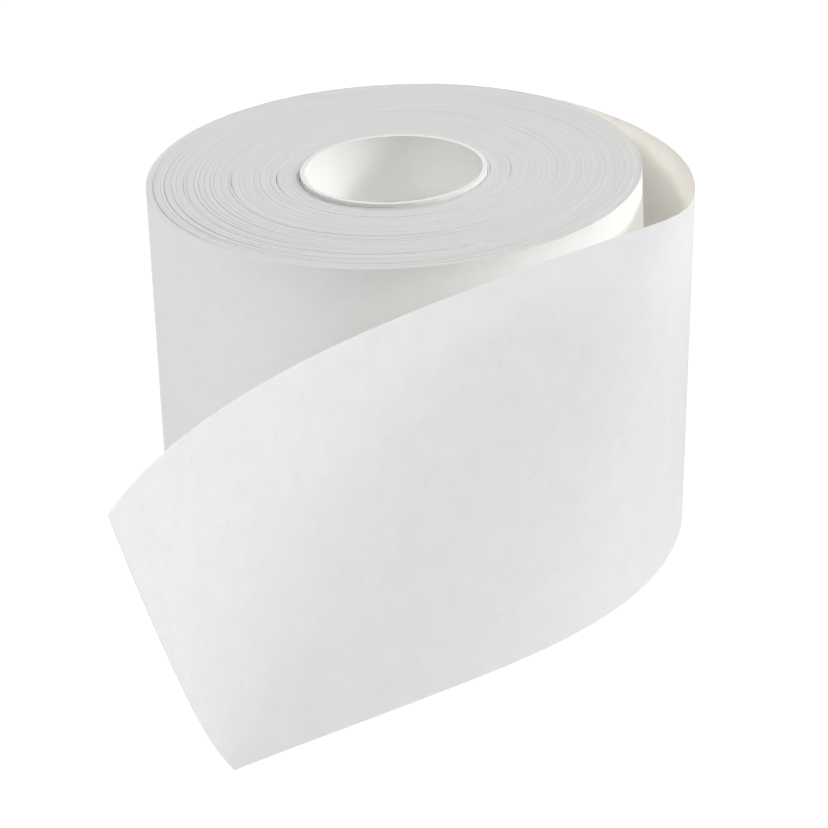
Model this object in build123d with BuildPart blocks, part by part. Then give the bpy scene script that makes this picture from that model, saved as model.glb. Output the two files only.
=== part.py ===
"""A short roll of paper standing on its end, with a card core and a loose tail.

The origin is on the roll's axis, at the face it stands on, and +Z is the roll's axis. The paper
leaves the roll at the back right, bulges out on the right and runs across the front (-Y).
"""
from build123d import *

import os
from math import cos, radians, sin

# Driving dimensions, in millimetres and degrees
web_width = 57.0  # width of the paper, which is the roll's height as it stands
roll_radius = 40.0
core_bore_radius = 14.4
core_ply = 0.35  # thickness of each of the core's two strips of card
core_stand = 0.6  # how far the core stands out of the paper at the top
glue_depth = 0.1  # film that holds the first turn to the core
glue_arc = 30.0
glue_end_margin = 4.0  # bare paper past each end of the glue
first_turns_wall = 0.55  # loose turns next to the core
outer_turn_wall = 0.2  # last full turn of paper
web_thickness = 0.2  # thickness of the loose paper

# Between its first and last turns the winding is split where a looser turn shows as a ring on the
# end face, at these shares of the depth between them
winding_splits = (0.137, 0.441, 0.760)

# The tail bends along straight lines across the paper, as any sheet does. It bulges out beside the
# roll, turns most at its front corner and curls back along the front. Its bend lines lean a little
# forward in the bulge, which keeps the lower edge up, and far back past the corner. Places along it
# are counted in spans, which grow with the roll that gave the paper its curl.
tail_span = 0.8 * roll_radius
bulge_place = 1.0
bulge_end = 2.0
corner_place = 3.0
front_start = 4.0
tail_end = 5.9  # length of the tail's middle
side_curl = 35.0  # degrees turned in a span, + with the roll
corner_curl = 50.0
front_curl = -25.0
bulge_lean = 0.2  # spans by which a bend line's top end runs ahead of its bottom end
front_lean = -2.6
end_lean = 0.5
end_cut = 35.0  # how far the cut end's top corner runs ahead of its bottom corner
lift_off_angle = 60.0  # where the paper leaves the roll
lead_in_arc = 20.0  # last stretch that still lies on the roll
lift_hinge = 0.625  # bend lines that serve as hinges, in spans from the lift-off
swing_hinge = 2.0
hinge_gap = 0.4  # bare length between two stretches of the tail at a hinge
facet = 4.0  # longest flat between two bend lines of a solid

# Worked out
core_radius = core_bore_radius + 2 * core_ply
first_turns_radius = core_radius + first_turns_wall
outer_winding_radius = roll_radius - outer_turn_wall
winding_depth = outer_winding_radius - first_turns_radius
split_radii = [first_turns_radius + share * winding_depth for share in (0, *winding_splits, 1)]
tail_length = tail_end * tail_span
tail_turn = ((bulge_end, side_curl), (corner_place, corner_curl), (front_start, front_curl))
tail_lean = (
    (0.0, 0.0),
    (bulge_place, bulge_lean),
    (bulge_end, 0.0),
    (front_start, front_lean),
    (tail_end, end_lean),
)


def value_at(named_places, distance):
    """Value at a distance along the tail, even between the named places and level past them."""
    place = distance / tail_span
    for (start, first), (end, last) in zip(named_places, named_places[1:]):
        if place < end:
            return first + (last - first) * max(0.0, place - start) / (end - start)
    return named_places[-1][1]


def bend_line(distance, steps_per_span=64):
    """Middle point, direction (one paper width high) and outward normal of the bend line there."""
    step = tail_span / steps_per_span
    outward = Vector(cos(radians(lift_off_angle)), sin(radians(lift_off_angle)), 0)
    middle = outward * roll_radius + Vector(0, 0, web_width / 2)
    along = Vector(outward.Y, -outward.X, 0)
    across = Vector(0, 0, 1)
    walked = 0.0
    while True:
        line = across * web_width + along * value_at(tail_lean, walked) * tail_span
        if walked >= distance:
            return middle, line, across.cross(along)
        stride = min(step, distance - walked)
        turn = -value_at(tail_turn, walked) * stride / tail_span
        bend_axis = Axis((0, 0, 0), tuple(line))
        along = along.rotate(bend_axis, turn)
        across = across.rotate(bend_axis, turn)
        middle = middle + along * stride
        walked += stride


def sheet_section(distance):
    """Plane that cuts the tail along a bend line: its X is the thickness and its Y the line."""
    middle, line, outward = bend_line(distance)
    return Plane(origin=middle, x_dir=outward, z_dir=outward.cross(line)), line.length


def tail_stretch(start, end):
    """Solid of the tail between two bend lines."""
    flats = max(1, round((end - start) / facet))
    with BuildPart() as stretch:
        for flat in range(flats + 1):
            plane, line_length = sheet_section(start + (end - start) * flat / flats)
            with BuildSketch(plane):
                Rectangle(web_thickness, line_length, align=(Align.MIN, Align.CENTER))
        loft(ruled=True)
    return stretch.part


def cut_plane():
    """Plane of the tail's cut end, whose normal points off the tail."""
    corners = []
    for height in (-0.5, 0.5):
        ahead = height * end_cut
        reach = tail_length + ahead
        for _ in range(30):
            reach = tail_length + ahead - height * value_at(tail_lean, reach) * tail_span
        middle, line, outward = bend_line(reach)
        corners.append(middle + line * height)
    edge = corners[1] - corners[0]
    return Plane(origin=corners[0], x_dir=edge, z_dir=outward.cross(edge))


def tube(inner_radius, outer_radius, height):
    with BuildPart() as wall:
        with BuildSketch():
            Circle(outer_radius)
            Circle(inner_radius, mode=Mode.SUBTRACT)
        extrude(amount=height)
    return wall.part


def save(part, name):
    part.label = name
    export_step(part, f"parts/{name}.step")


os.makedirs("parts", exist_ok=True)

# Core: two plies of card, the outer one carrying the glue film and the first turn
core_height = web_width + core_stand
save(tube(core_bore_radius, core_bore_radius + core_ply, core_height), "core_inner_ply")
save(tube(core_bore_radius + core_ply, core_radius, core_height), "core_outer_ply")

with BuildPart() as glue_line:
    with BuildSketch(Plane.XY.offset(glue_end_margin)):
        Circle(core_radius + glue_depth)
        Circle(core_radius, mode=Mode.SUBTRACT)
        with BuildLine():
            reach = 2 * core_radius
            edge = (reach * cos(radians(glue_arc / 2)), reach * sin(radians(glue_arc / 2)))
            Polyline((0, 0), edge, (edge[0], -edge[1]), close=True)
        make_face(mode=Mode.INTERSECT)
    extrude(amount=web_width - 2 * glue_end_margin)
save(glue_line.part, "glue_line")

# Winding, from the core outwards
with BuildPart() as first_turns:
    add(tube(core_radius, first_turns_radius, web_width))
    add(glue_line.part, mode=Mode.SUBTRACT)
save(first_turns.part, "first_turns")

winding_names = ("inner_winding", "middle_winding", "main_winding", "outer_winding")
for name, inner_radius, outer_radius in zip(winding_names, split_radii, split_radii[1:]):
    save(tube(inner_radius, outer_radius, web_width), name)
save(tube(outer_winding_radius, roll_radius, web_width), "outer_turn")

# Tail: a lead-in that lies on the roll, then three stretches that hinge on bend lines
with BuildPart() as tail_root:
    with BuildSketch():
        with BuildLine():
            inner_lie = CenterArc((0, 0), roll_radius, lift_off_angle, lead_in_arc)
            outer_lie = CenterArc((0, 0), roll_radius + web_thickness, lift_off_angle, lead_in_arc)
            Line(inner_lie @ 0, outer_lie @ 0)
            Line(inner_lie @ 1, outer_lie @ 1)
        make_face()
    extrude(amount=web_width)
    add(tail_stretch(0, lift_hinge * tail_span - hinge_gap / 2))
    # Where the first flats would cut into the roll, the paper follows the roll's own surface
    with Locations((0, 0, web_width / 2)):
        Cylinder(roll_radius, 2 * web_width, mode=Mode.SUBTRACT)
save(tail_root.part, "tail_root")

tail_side = tail_stretch(lift_hinge * tail_span + hinge_gap / 2, swing_hinge * tail_span - hinge_gap / 2)
save(tail_side, "tail_side")

with BuildPart() as tail_front:
    add(tail_stretch(swing_hinge * tail_span + hinge_gap / 2, tail_length + end_cut / 2 + facet))
    split(bisect_by=cut_plane(), keep=Keep.BOTTOM)
save(tail_front.part, "tail_front")

for hinge in (lift_hinge, swing_hinge):
    middle, line, _ = bend_line(hinge * tail_span)
    direction = line.normalized()
    print("hinge", tuple(round(v, 3) for v in middle), tuple(round(v, 5) for v in direction))
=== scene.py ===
"""Looks for a short roll of thin paper with a card core and a loose tail.

Lengths are in metres. The roll stands on the floor with its axis on Z, and its tail leaves it at
the back right, bulges out on the right and runs across the front, at -Y, to a slanting cut end.
"""
from math import cos, radians, sin, tau

import bpy
import numpy as np
from mathutils import Matrix, Quaternion, Vector


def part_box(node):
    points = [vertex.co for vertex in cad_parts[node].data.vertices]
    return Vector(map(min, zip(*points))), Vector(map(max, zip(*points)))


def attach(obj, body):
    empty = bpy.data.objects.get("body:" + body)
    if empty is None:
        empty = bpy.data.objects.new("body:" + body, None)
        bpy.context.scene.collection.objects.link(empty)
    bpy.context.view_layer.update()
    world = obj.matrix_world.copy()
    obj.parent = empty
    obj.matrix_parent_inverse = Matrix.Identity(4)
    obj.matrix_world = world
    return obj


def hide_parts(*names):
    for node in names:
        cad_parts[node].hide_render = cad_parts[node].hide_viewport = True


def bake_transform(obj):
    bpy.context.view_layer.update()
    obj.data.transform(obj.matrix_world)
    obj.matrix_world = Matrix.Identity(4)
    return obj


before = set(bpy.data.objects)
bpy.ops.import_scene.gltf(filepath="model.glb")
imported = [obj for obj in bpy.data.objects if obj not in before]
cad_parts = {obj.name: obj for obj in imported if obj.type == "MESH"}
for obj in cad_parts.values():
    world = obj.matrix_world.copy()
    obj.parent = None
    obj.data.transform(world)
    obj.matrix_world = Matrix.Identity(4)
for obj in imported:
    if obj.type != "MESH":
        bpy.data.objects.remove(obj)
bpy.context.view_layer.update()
MM = 0.001

# ---------------------------------------------------------------- sizes, taken from the frame
web_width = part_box("main_winding")[1].z
roll_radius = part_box("outer_turn")[1].x
core_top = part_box("core_inner_ply")[1].z
core_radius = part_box("core_outer_ply")[1].x
sheet_thickness = 0.1 * MM


# ---------------------------------------------------------------- node trees written as expressions
class Wire:
    """A socket of a node tree. Arithmetic on it adds Math nodes."""

    def __init__(self, tree, socket):
        self.tree = tree
        self.socket = socket

    def math(self, operation, *others):
        return self.tree.add("ShaderNodeMath", {"operation": operation}, dict(enumerate(others)))

    def __add__(self, other):
        return self.math("ADD", self, other)

    def __radd__(self, other):
        return self.math("ADD", other, self)

    def __sub__(self, other):
        return self.math("SUBTRACT", self, other)

    def __rsub__(self, other):
        return self.math("SUBTRACT", other, self)

    def __mul__(self, other):
        return self.math("MULTIPLY", self, other)

    def __rmul__(self, other):
        return self.math("MULTIPLY", other, self)

    def __truediv__(self, other):
        return self.math("DIVIDE", self, other)

    def __rtruediv__(self, other):
        return self.math("DIVIDE", other, self)

    def __mod__(self, other):
        return self.math("FLOORED_MODULO", self, other)

    def __pow__(self, other):
        return self.math("POWER", self, other)

    def __gt__(self, other):
        return self.math("GREATER_THAN", self, other)

    def __lt__(self, other):
        return self.math("LESS_THAN", self, other)


def rounded(wire):
    return wire.math("ROUND", wire)


def least(first, second):
    return first.math("MINIMUM", first, second)


class Tree:
    """A node tree with one call for any node."""

    def __init__(self, nodes_of):
        self.nodes = nodes_of.nodes
        self.links = nodes_of.links

    def add(self, kind, settings=None, inputs=None, output=0):
        """Adds a node, sets it up and wires it. Returns one of its outputs."""
        node = self.nodes.new(kind)
        for name, value in (settings or {}).items():
            if name == "stops":
                self.set_stops(node.color_ramp, value)
            else:
                setattr(node, name, value)
        for name, value in (inputs or {}).items():
            if isinstance(value, Wire):
                self.links.new(value.socket, node.inputs[name])
            else:
                node.inputs[name].default_value = value
        return Wire(self, node.outputs[output]) if node.outputs else node

    @staticmethod
    def set_stops(ramp, stops):
        while len(ramp.elements) < len(stops):
            ramp.elements.new(0.5)
        for element, (place, colour) in zip(ramp.elements, stops):
            element.position = place
            element.color = colour

    def other(self, wire, output):
        """Another output of the node that a wire comes from."""
        return Wire(self, wire.socket.node.outputs[output])


# ---------------------------------------------------------------- materials
def new_material(name):
    material = bpy.data.materials.new(name)
    material.use_nodes = True
    tree = Tree(material.node_tree)
    shader = material.node_tree.nodes["Principled BSDF"]
    return material, tree, shader


def grey_mix(tree, amount, dark, light):
    """A colour between two, by a value from 0 to 1."""
    return tree.add(
        "ShaderNodeMix",
        {"data_type": "RGBA", "clamp_factor": True},
        {"Factor": amount, "A": (*dark, 1), "B": (*light, 1)},
        output="Result",
    )


def set_colour(tree, shader, colour):
    tree.links.new(colour.socket, shader.inputs["Base Color"])


def set_bump(tree, shader, height, distance, strength):
    relief = {"Height": height, "Distance": distance, "Strength": strength}
    bump = tree.add("ShaderNodeBump", {}, relief, "Normal")
    tree.links.new(bump.socket, shader.inputs["Normal"])


def noise(tree, vector, scale, detail=2.0, roughness=0.5):
    return tree.add(
        "ShaderNodeTexNoise", {}, {"Vector": vector, "Scale": scale, "Detail": detail, "Roughness": roughness}
    )


def let_light_through(tree, shader, colour, share):
    """Mixes in the light that comes through from the other side."""
    through = tree.add("ShaderNodeBsdfTranslucent", {}, {"Color": colour})
    mixed = tree.add("ShaderNodeMixShader", {}, {0: share, 1: Wire(tree, shader.outputs[0]), 2: through})
    tree.links.new(mixed.socket, tree.nodes["Material Output"].inputs["Surface"])


def paper_sheet(name, dark, light, see_through=0.0):
    """Face of thin uncoated paper: cloudy formation, a few flecks and a very fine fibre relief."""
    material, tree, shader = new_material(name)
    place = tree.add("ShaderNodeTexCoord", output="Object")
    clouds = noise(tree, place, 260, 3.0, 0.6)
    grain = noise(tree, place, 1500, 2.0, 0.6)
    flecks = noise(tree, place, 700, 1.0, 0.4)
    fleck_mask = tree.add("ShaderNodeMapRange", {}, {0: flecks, 1: 0.66, 2: 0.74, 3: 0.0, 4: 1.0})
    colour = grey_mix(tree, clouds * 0.8 + grain * 0.3 - fleck_mask * 0.25, dark, light)
    set_colour(tree, shader, colour)
    set_bump(tree, shader, grain * 0.6 + clouds * 0.4, 0.00002, 0.5)
    shader.inputs["Roughness"].default_value = 0.88
    shader.inputs["Specular IOR Level"].default_value = 0.25
    if see_through:
        let_light_through(tree, shader, colour, see_through)
    return material


def paper_edges_painted_shade():
    """End face of the winding, which is the cut edges of its turns, in painted shade: fine dark rings of
    painted shade between the turns, on paper greyed with painted shade for the weaker light from above.
    """
    material, tree, shader = new_material("paper_edges_painted_shade")
    place = tree.add("ShaderNodeTexCoord", output="Object")
    parts = tree.add("ShaderNodeSeparateXYZ", {}, {0: place})
    across, deep = parts, tree.other(parts, 1)
    radius = (across * across + deep * deep).math("SQRT", (across * across + deep * deep))
    slow = noise(tree, place, 40, 1.0)
    ring_place = tree.add("ShaderNodeCombineXYZ", {}, {0: radius * 9000 + slow * 1.5, 1: slow * 2, 2: 0.0})
    rings = noise(tree, ring_place, 1.0, 2.0, 0.7)
    broad_place = tree.add("ShaderNodeCombineXYZ", {}, {0: radius * 1400, 1: slow * 1.5, 2: 3.0})
    broad = noise(tree, broad_place, 1.0, 1.0)
    grain = noise(tree, place, 2500, 2.0)
    # Painted shade: the dark rings and broad bands stand in for shade in the gaps between turns; the grain is
    # the paper's own random tone.
    amount = rings * 0.9 + broad * 0.35 + grain * 0.15 - 0.2
    # Both greys are painted shade: the end face is darker than the sides because less light falls on it from
    # above.
    set_colour(tree, shader, grey_mix(tree, amount, (0.40, 0.40, 0.395), (0.55, 0.55, 0.545)))
    set_bump(tree, shader, rings * 0.7 + grain * 0.3, 0.00004, 0.6)
    shader.inputs["Roughness"].default_value = 0.95
    shader.inputs["Specular IOR Level"].default_value = 0.15
    return material


def core_card():
    """White-lined card of the core's plies, greyer where its cut edge shows at the ends."""
    material, tree, shader = new_material("core_card")
    place = tree.add("ShaderNodeTexCoord", output="Object")
    fibres = noise(tree, place, 900, 3.0, 0.6)
    clouds = noise(tree, place, 120, 2.0)
    face = grey_mix(tree, fibres * 0.5 + clouds * 0.5, (0.78, 0.79, 0.77), (0.88, 0.885, 0.87))
    rise = tree.other(tree.add("ShaderNodeSeparateXYZ", {}, {0: place}), 2)
    on_edge = (rise > core_top - 0.01 * MM) + (rise < 0.01 * MM)
    cut = {"Factor": on_edge, "A": face, "B": (0.56, 0.56, 0.55, 1)}
    colour = tree.add("ShaderNodeMix", {"data_type": "RGBA"}, cut, output="Result")
    set_colour(tree, shader, colour)
    set_bump(tree, shader, fibres, 0.00003, 0.5)
    shader.inputs["Roughness"].default_value = 0.8
    return material


paper_front = paper_sheet("paper_front", (0.79, 0.79, 0.795), (0.86, 0.86, 0.865))
tail_front_face = paper_sheet("tail_outer_face", (0.76, 0.77, 0.80), (0.84, 0.85, 0.88), 0.42)
# The inner face is a lighter, cream copy of the tail's paper: painted warm bounce light for the shaded gap
# between tail and roll.
inner_face_painted_bounce = paper_sheet("tail_inner_painted_bounce", (0.90, 0.87, 0.79), (0.95, 0.92, 0.85), 0.42)
paper_end_painted_shade = paper_edges_painted_shade()
card_face = core_card()


# ---------------------------------------------------------------- winding, by Geometry Nodes
def winding_tree():
    """Closed ring of wound paper, whose end faces show how the turns have shifted along the roll.

    Turns that shifted together make a bundle. Inside a bundle each turn stands a little further out
    than the last, and the next bundle starts low again, which leaves a fine step between them.
    """
    group = bpy.data.node_groups.new("wound_paper", "GeometryNodeTree")
    sockets = (
        ("Inner Radius", "NodeSocketFloat"),
        ("Outer Radius", "NodeSocketFloat"),
        ("Height", "NodeSocketFloat"),
        ("Turns", "NodeSocketInt"),
        ("Segments", "NodeSocketInt"),
        ("Bundle Width", "NodeSocketFloat"),
        ("Step", "NodeSocketFloat"),
        ("Turn Jitter", "NodeSocketFloat"),
        ("Drift", "NodeSocketFloat"),
        ("Inner Slack", "NodeSocketFloat"),
        ("Outer Slack", "NodeSocketFloat"),
        ("Slack Angle", "NodeSocketFloat"),
        ("Seed", "NodeSocketFloat"),
        ("Side Material", "NodeSocketMaterial"),
        ("End Material", "NodeSocketMaterial"),
    )
    for name, kind in sockets:
        group.interface.new_socket(name, in_out="INPUT", socket_type=kind)
    group.interface.new_socket("Geometry", in_out="OUTPUT", socket_type="NodeSocketGeometry")
    tree = Tree(group)
    first = tree.add("NodeGroupInput", output="Inner Radius")
    size = {name: tree.other(first, name) for name, _ in sockets}

    # A flat grid is rolled up: one way round the roll, the other way over the top face and back below
    last_row = size["Turns"] * 2 + 2
    grid = tree.add(
        "GeometryNodeMeshGrid",
        {},
        {"Size X": 1.0, "Size Y": 1.0, "Vertices X": size["Segments"] + 1, "Vertices Y": last_row + 1},
    )
    spot = tree.add("ShaderNodeSeparateXYZ", {}, {0: tree.add("GeometryNodeInputPosition")})
    angle = (spot + 0.5) * tau
    row = rounded((tree.other(spot, 1) + 0.5) * last_row)
    under = (row > size["Turns"] + 0.5) * (row < last_row - 0.5)
    turn = least(row, last_row - 1 - row).math("MAXIMUM", 0.0, least(row, last_row - 1 - row))
    round_x = angle.math("COSINE", angle)
    round_y = angle.math("SINE", angle)

    def noise_at(value, value_scale, round_scale, shift):
        """Noise from 0 to 1 that changes with a value and slowly round the roll."""
        where = tree.add(
            "ShaderNodeCombineXYZ",
            {},
            {
                0: round_x * round_scale + size["Seed"] * 7.3 + shift,
                1: round_y * round_scale,
                2: value * value_scale,
            },
        )
        return tree.add("ShaderNodeTexNoise", {}, {"Vector": where, "Scale": 1.0, "Detail": 1.0})

    wall = size["Outer Radius"] - size["Inner Radius"]
    share = turn / size["Turns"]
    radius = size["Inner Radius"] + wall * share
    loose_side = (angle - size["Slack Angle"]).math("COSINE", angle - size["Slack Angle"]) * 0.5 + 0.5
    near_outside = share * share * share * share
    near_inside = (1 - share) * (1 - share) * (1 - share) * (1 - share)
    slack = size["Inner Slack"] * near_inside - size["Outer Slack"] * near_outside
    radius = radius + loose_side ** 3 * slack

    count = radius / size["Bundle Width"] + noise_at(radius, 700.0, 0.15, 11.0) * 2.0
    bundle = count.math("FLOOR", count)
    climb = count - bundle
    strength = noise_at(bundle, 5.7, 0.8, 30.0) * 2.6 - 0.55
    step = (1 - climb) * size["Step"] * strength
    jitter = noise_at(turn, 5.3, 0.7, 40.0) * size["Turn Jitter"]
    drift = noise_at(turn, 0.06, 0.8, 60.0) * size["Drift"]
    recess = (step + jitter + drift).math("MAXIMUM", 0.0, step + jitter + drift)
    height = size["Height"] - recess + under * (recess * 2 - size["Height"])
    position = tree.add("ShaderNodeCombineXYZ", {}, {0: round_x * radius, 1: round_y * radius, 2: height})
    moved = tree.add("GeometryNodeSetPosition", {}, {"Geometry": grid, "Position": position})
    closed = tree.add("GeometryNodeMergeByDistance", {}, {"Geometry": moved, "Distance": 1e-6})
    fold = tree.add("GeometryNodeInputMeshEdgeAngle")
    smooth = tree.add(
        "GeometryNodeSetShadeSmooth", {"domain": "EDGE"}, {"Geometry": closed, "Shade Smooth": fold < 0.9}
    )
    whole = tree.add("GeometryNodeRealizeInstances", {}, {0: smooth})
    sided = tree.add("GeometryNodeSetMaterial", {}, {"Geometry": whole, "Material": size["Side Material"]})
    place = tree.add("ShaderNodeSeparateXYZ", {}, {0: tree.add("GeometryNodeInputPosition")})
    rise = tree.other(place, 2) / size["Height"]
    on_wall = (rise > 0.1) * (rise < 0.9)
    ends = {"Geometry": sided, "Selection": 1 - on_wall, "Material": size["End Material"]}
    ended = tree.add("GeometryNodeSetMaterial", {}, ends)
    tree.add("NodeGroupOutput", {}, {0: ended})
    return group


def set_inputs(modifier, values):
    for item in modifier.node_group.interface.items_tree:
        if item.in_out == "INPUT" and item.name in values:
            modifier[item.identifier] = values[item.name]


def grown(name, group, values):
    """Plain mesh object made by a node group with these inputs."""
    seed_mesh = bpy.data.meshes.new(name + "_seed")
    maker = bpy.data.objects.new(name + "_maker", seed_mesh)
    bpy.context.scene.collection.objects.link(maker)
    modifier = maker.modifiers.new("nodes", "NODES")
    modifier.node_group = group
    set_inputs(modifier, values)
    bpy.context.view_layer.update()
    evaluated = maker.evaluated_get(bpy.context.evaluated_depsgraph_get())
    mesh = bpy.data.meshes.new_from_object(evaluated)
    mesh.name = name
    maker.modifiers.remove(modifier)
    bpy.data.objects.remove(maker)
    piece = bpy.data.objects.new(name, mesh)
    bpy.context.scene.collection.objects.link(piece)
    return piece


wound_paper = winding_tree()
turn_pitch = 0.15 * MM


def winding(node, inner, outer, bundle_width, step, drift, slack, seed, segments=256):
    """One ring of the winding, in place of its plain node."""
    ring = grown(
        node + "_paper",
        wound_paper,
        {
            "Inner Radius": inner,
            "Outer Radius": outer,
            "Height": web_width,
            "Turns": max(1, round((outer - inner) / turn_pitch)),
            "Segments": segments,
            "Bundle Width": bundle_width,
            "Step": step,
            "Turn Jitter": 0.015 * MM,
            "Drift": drift,
            "Inner Slack": slack[0],
            "Outer Slack": slack[1],
            "Slack Angle": radians(190),
            "Seed": float(seed),
            "Side Material": paper_front,
            "End Material": paper_end_painted_shade,
        },
    )
    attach(ring, "roll")
    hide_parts(node)
    return ring


edge = {
    name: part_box(name)[1].x
    for name in ("first_turns", "inner_winding", "middle_winding", "main_winding", "outer_winding")
}
core_gap = 0.06 * MM
first_gap = 0.05 * MM
inner_gap = 0.06 * MM
end_gap = 0.02 * MM
winding(
    "first_turns", core_radius + core_gap, edge["first_turns"] - first_gap,
    bundle_width=0.3 * MM, step=0.0, drift=0.05 * MM, slack=(0.10 * MM, 0.03 * MM), seed=1,
)
winding(
    "inner_winding", edge["first_turns"], edge["inner_winding"] - inner_gap,
    bundle_width=0.45 * MM, step=0.05 * MM, drift=0.06 * MM, slack=(0.0, 0.07 * MM), seed=2,
)
winding(
    "middle_winding", edge["inner_winding"], edge["middle_winding"] - end_gap,
    bundle_width=0.9 * MM, step=0.06 * MM, drift=0.08 * MM, slack=(0.0, 0.07 * MM), seed=3,
)
winding(
    "main_winding", edge["middle_winding"], edge["main_winding"] - end_gap,
    bundle_width=0.9 * MM, step=0.09 * MM, drift=0.08 * MM, slack=(0.0, 0.05 * MM), seed=4,
)
winding(
    "outer_winding", edge["main_winding"], edge["outer_winding"],
    bundle_width=1.05 * MM, step=0.13 * MM, drift=0.05 * MM, slack=(0.0, 0.0), seed=5,
)
winding(
    "outer_turn", edge["outer_winding"], roll_radius,
    bundle_width=1.0 * MM, step=0.0, drift=0.04 * MM, slack=(0.0, 0.0), seed=9, segments=360,
)


# ---------------------------------------------------------------- loose tail
class TailLaw:
    """The tail as a sheet that bends along straight lines across the paper.

    It bulges out beside the roll, turns most at its front corner and curls back along the front.
    Places along it are counted in spans, as the model of its solids does.
    """

    span = 0.8 * roll_radius
    bulge_place = 1.0
    bulge_end = 2.0
    corner_place = 3.0
    front_start = 4.0
    tail_end = 5.9
    side_curl = radians(35)
    corner_curl = radians(50)
    front_curl = radians(-25)
    bulge_lean = 0.2
    front_lean = -2.6
    end_lean = 0.5
    end_cut = 35 * MM
    lift_off = radians(60)
    lead_in = radians(20)
    length = tail_end * span
    step = span / 64

    def __init__(self):
        count = int(self.length * 1.25 / self.step)
        self.walk = np.arange(count + 1) * self.step
        place = self.walk / self.span
        turn_places = (self.bulge_end, self.corner_place, self.front_start)
        turn = np.interp(place, turn_places, (self.side_curl, self.corner_curl, self.front_curl))
        bend = turn / self.span
        lean_places = (0, self.bulge_place, self.bulge_end, self.front_start, self.tail_end)
        lean = np.interp(place, lean_places, (0, self.bulge_lean, 0, self.front_lean, self.end_lean))
        self.ahead = lean * self.span
        outward = Vector((cos(self.lift_off), sin(self.lift_off), 0))
        middle = outward * roll_radius + Vector((0, 0, web_width / 2))
        along = Vector((outward.y, -outward.x, 0))
        across = Vector((0, 0, 1))
        rows = []
        for k in range(count + 1):
            line = across * web_width + along * self.ahead[k]
            rows.append((*middle, *line, *across.cross(along)))
            turned = Quaternion(line.normalized(), -bend[k] * self.step)
            along = turned @ along
            across = turned @ across
            middle = middle + along * self.step
        rows = np.array(rows)
        self.middle, self.line, self.outward = rows[:, :3], rows[:, 3:6], rows[:, 6:]

    def at(self, along, height):
        """Point and outward normal at a flat place: distance along, and height from 0 to 1."""
        reach = np.interp(along, self.walk + (height - 0.5) * self.ahead, self.walk)
        pick = lambda table: np.array([np.interp(reach, self.walk, table[:, i]) for i in range(3)])
        return pick(self.middle) + pick(self.line) * (height - 0.5), pick(self.outward)


tail = TailLaw()


def bend_place(distance, height):
    """Flat distance at which a bend line crosses a height of the paper."""
    return distance + (height - 0.5) * float(np.interp(distance, tail.walk, tail.ahead))


def end_place(height):
    return tail.length + (height - 0.5) * tail.end_cut


def tail_piece(name, start_of, end_of, columns, rows=48):
    """Closed thin sheet between two edges given as flat distances by height."""
    grid = np.zeros((columns + 1, rows + 1, 3))
    for i in range(columns + 1):
        for j in range(rows + 1):
            height = j / rows
            start, end = start_of(height), end_of(height)
            along = start + (end - start) * i / columns
            if along < 0:
                angle = tail.lift_off - along / roll_radius
                grid[i, j] = (roll_radius * cos(angle), roll_radius * sin(angle), height * web_width)
            else:
                grid[i, j] = tail.at(along, height)[0]
    points = grid.reshape(-1, 3)
    index = lambda i, j: i * (rows + 1) + j
    faces = [
        (index(i, j), index(i, j + 1), index(i + 1, j + 1), index(i + 1, j))
        for i in range(columns)
        for j in range(rows)
    ]
    mesh = bpy.data.meshes.new(name)
    mesh.from_pydata([tuple(p) for p in points], [], faces)
    mesh.materials.append(tail_front_face)
    mesh.materials.append(inner_face_painted_bounce)
    mesh.materials.append(tail_front_face)
    piece = bpy.data.objects.new(name, mesh)
    bpy.context.scene.collection.objects.link(piece)
    solid = piece.modifiers.new("thickness", "SOLIDIFY")
    solid.thickness = sheet_thickness
    solid.offset = 1
    solid.material_offset = 1
    solid.material_offset_rim = 2
    bpy.context.view_layer.update()
    thick = bpy.data.meshes.new_from_object(piece.evaluated_get(bpy.context.evaluated_depsgraph_get()))
    piece.modifiers.remove(solid)
    piece.data = thick
    for face in thick.polygons:
        face.use_smooth = True
    thick.set_sharp_from_angle(angle=radians(40))
    return piece


lift_hinge = 0.625 * tail.span
swing_hinge = tail.bulge_end * tail.span
side_middle = (lift_hinge + swing_hinge) / 2
lead_start = -tail.lead_in * roll_radius
tail_back = tail_piece("tail_back_paper", lambda h: lead_start, lambda h: bend_place(side_middle, h), 60)
tail_run = tail_piece("tail_run_paper", lambda h: bend_place(side_middle, h), end_place, 130)


def blend_over(piece):
    """Bakes a piece's placement into its mesh; it does not bend the piece across a bend line.

    Known fault: the blend runs backward along the sheet, so away from rest the first body's side
    follows the second body and the second body's side follows the first.
    """
    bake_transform(piece)


blend_over(tail_back)
blend_over(tail_run)
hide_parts("tail_root", "tail_side")
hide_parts("tail_front")
run_length = tail.length - side_middle
run_length + tail.end_cut / 2
web_width * run_length


# ---------------------------------------------------------------- core and glue keep their CAD shape
def dress(node, material):
    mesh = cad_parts[node].data
    mesh.materials.clear()
    mesh.materials.append(material)


for node in ("core_inner_ply", "core_outer_ply", "glue_line"):
    dress(node, card_face)


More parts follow.
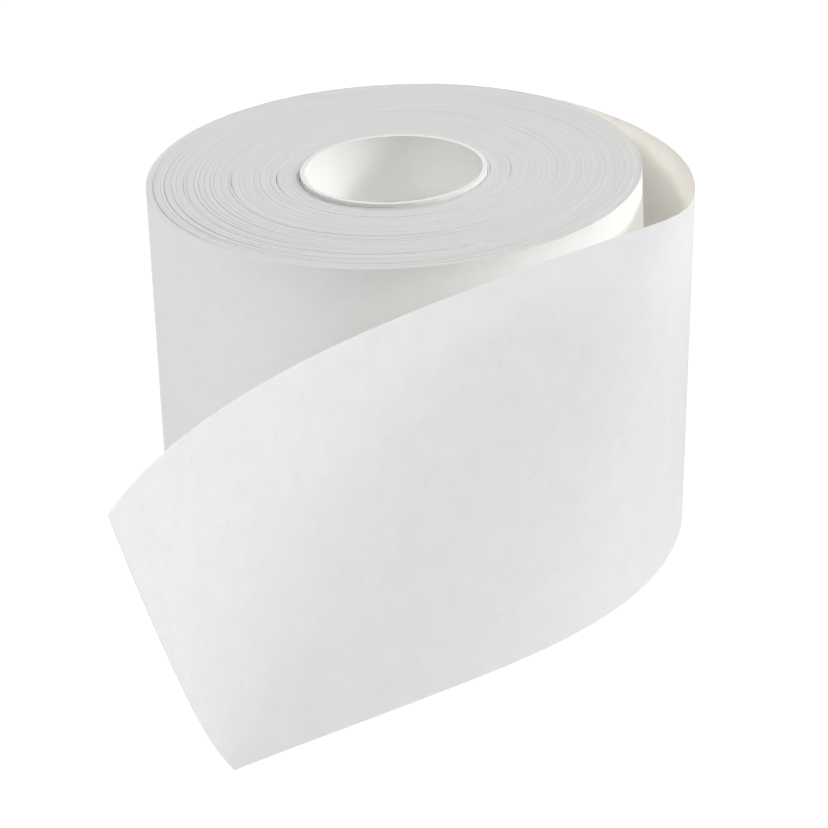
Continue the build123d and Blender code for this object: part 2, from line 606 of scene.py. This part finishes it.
# ---------------------------------------------------------------- floor, light and camera
def studio():
    bpy.ops.mesh.primitive_plane_add(size=6)
    floor = bpy.context.object
    floor.name = "floor"
    material, tree, shader = new_material("floor_white")
    shader.inputs["Base Color"].default_value = (0.12, 0.12, 0.12, 1)
    shader.inputs["Roughness"].default_value = 1.0
    shader.inputs["Specular IOR Level"].default_value = 0.0
    shader.inputs["Emission Color"].default_value = (1, 1, 1, 1)
    shader.inputs["Emission Strength"].default_value = 0.92
    floor.data.materials.append(material)
    world = bpy.data.worlds.new("tent")
    world.use_nodes = True
    world.node_tree.nodes["Background"].inputs[0].default_value = (1, 1, 1, 1)
    world.node_tree.nodes["Background"].inputs[1].default_value = 0.02
    bpy.context.scene.world = world
    bpy.context.scene.view_settings.view_transform = "Standard"


lamp_distance = 1.2
lamp_aim = Vector((0, 0, 0.04))


def soft_light(name, turn, lift, size, power):
    """Softbox at a turn round the roll and a lift above the floor, in degrees, facing the roll."""
    data = bpy.data.lights.new(name, "AREA")
    data.shape = "RECTANGLE"
    data.size, data.size_y = size
    data.energy = power
    lamp = bpy.data.objects.new(name, data)
    bpy.context.scene.collection.objects.link(lamp)
    turn, lift = radians(turn), radians(lift)
    away = Vector((cos(lift) * cos(turn), cos(lift) * sin(turn), sin(lift)))
    lamp.location = lamp_aim + away * lamp_distance
    lamp.rotation_euler = (-away).to_track_quat("-Z", "Y").to_euler()


def camera():
    """Long lens, a little rolled, looking down at the roll from the front."""
    elevation = radians(21.7)
    distance = 20 * roll_radius
    pan = radians(-0.1)
    tilt = radians(-2.8)
    roll = radians(2.75)
    focus = Vector((0, 0, web_width))
    place = focus + Vector((0, -cos(elevation), sin(elevation))) * distance
    forward = (focus - place).normalized()
    right = Vector((1, 0, 0))
    up = right.cross(forward)
    for axis_name, amount in (("up", pan), ("right", tilt), ("forward", roll)):
        turned = Quaternion({"up": up, "right": right, "forward": forward}[axis_name], amount)
        right, up, forward = (turned @ v for v in (right, up, forward))
    data = bpy.data.cameras.new("camera")
    data.sensor_width = 36
    data.lens = 215.6
    data.clip_start, data.clip_end = 0.01, 20
    eye = bpy.data.objects.new("camera", data)
    bpy.context.scene.collection.objects.link(eye)
    basis = Matrix((right, up, -forward)).transposed().to_4x4()
    eye.matrix_world = Matrix.Translation(place) @ basis
    bpy.context.scene.camera = eye


studio()
soft_light("right_box", 0, 54, (0.5, 0.3), 7.5)
soft_light("right_low_box", -5, 26, (0.4, 0.15), 6.5)
soft_light("left_box", -166, 48, (0.7, 0.4), 7)
soft_light("back_box", 88, 30, (0.8, 0.5), 8)
soft_light("front_box", -70, 30, (0.8, 0.4), 2.5)
soft_light("top_box", 0, 88, (0.8, 0.8), 1.5)
camera()
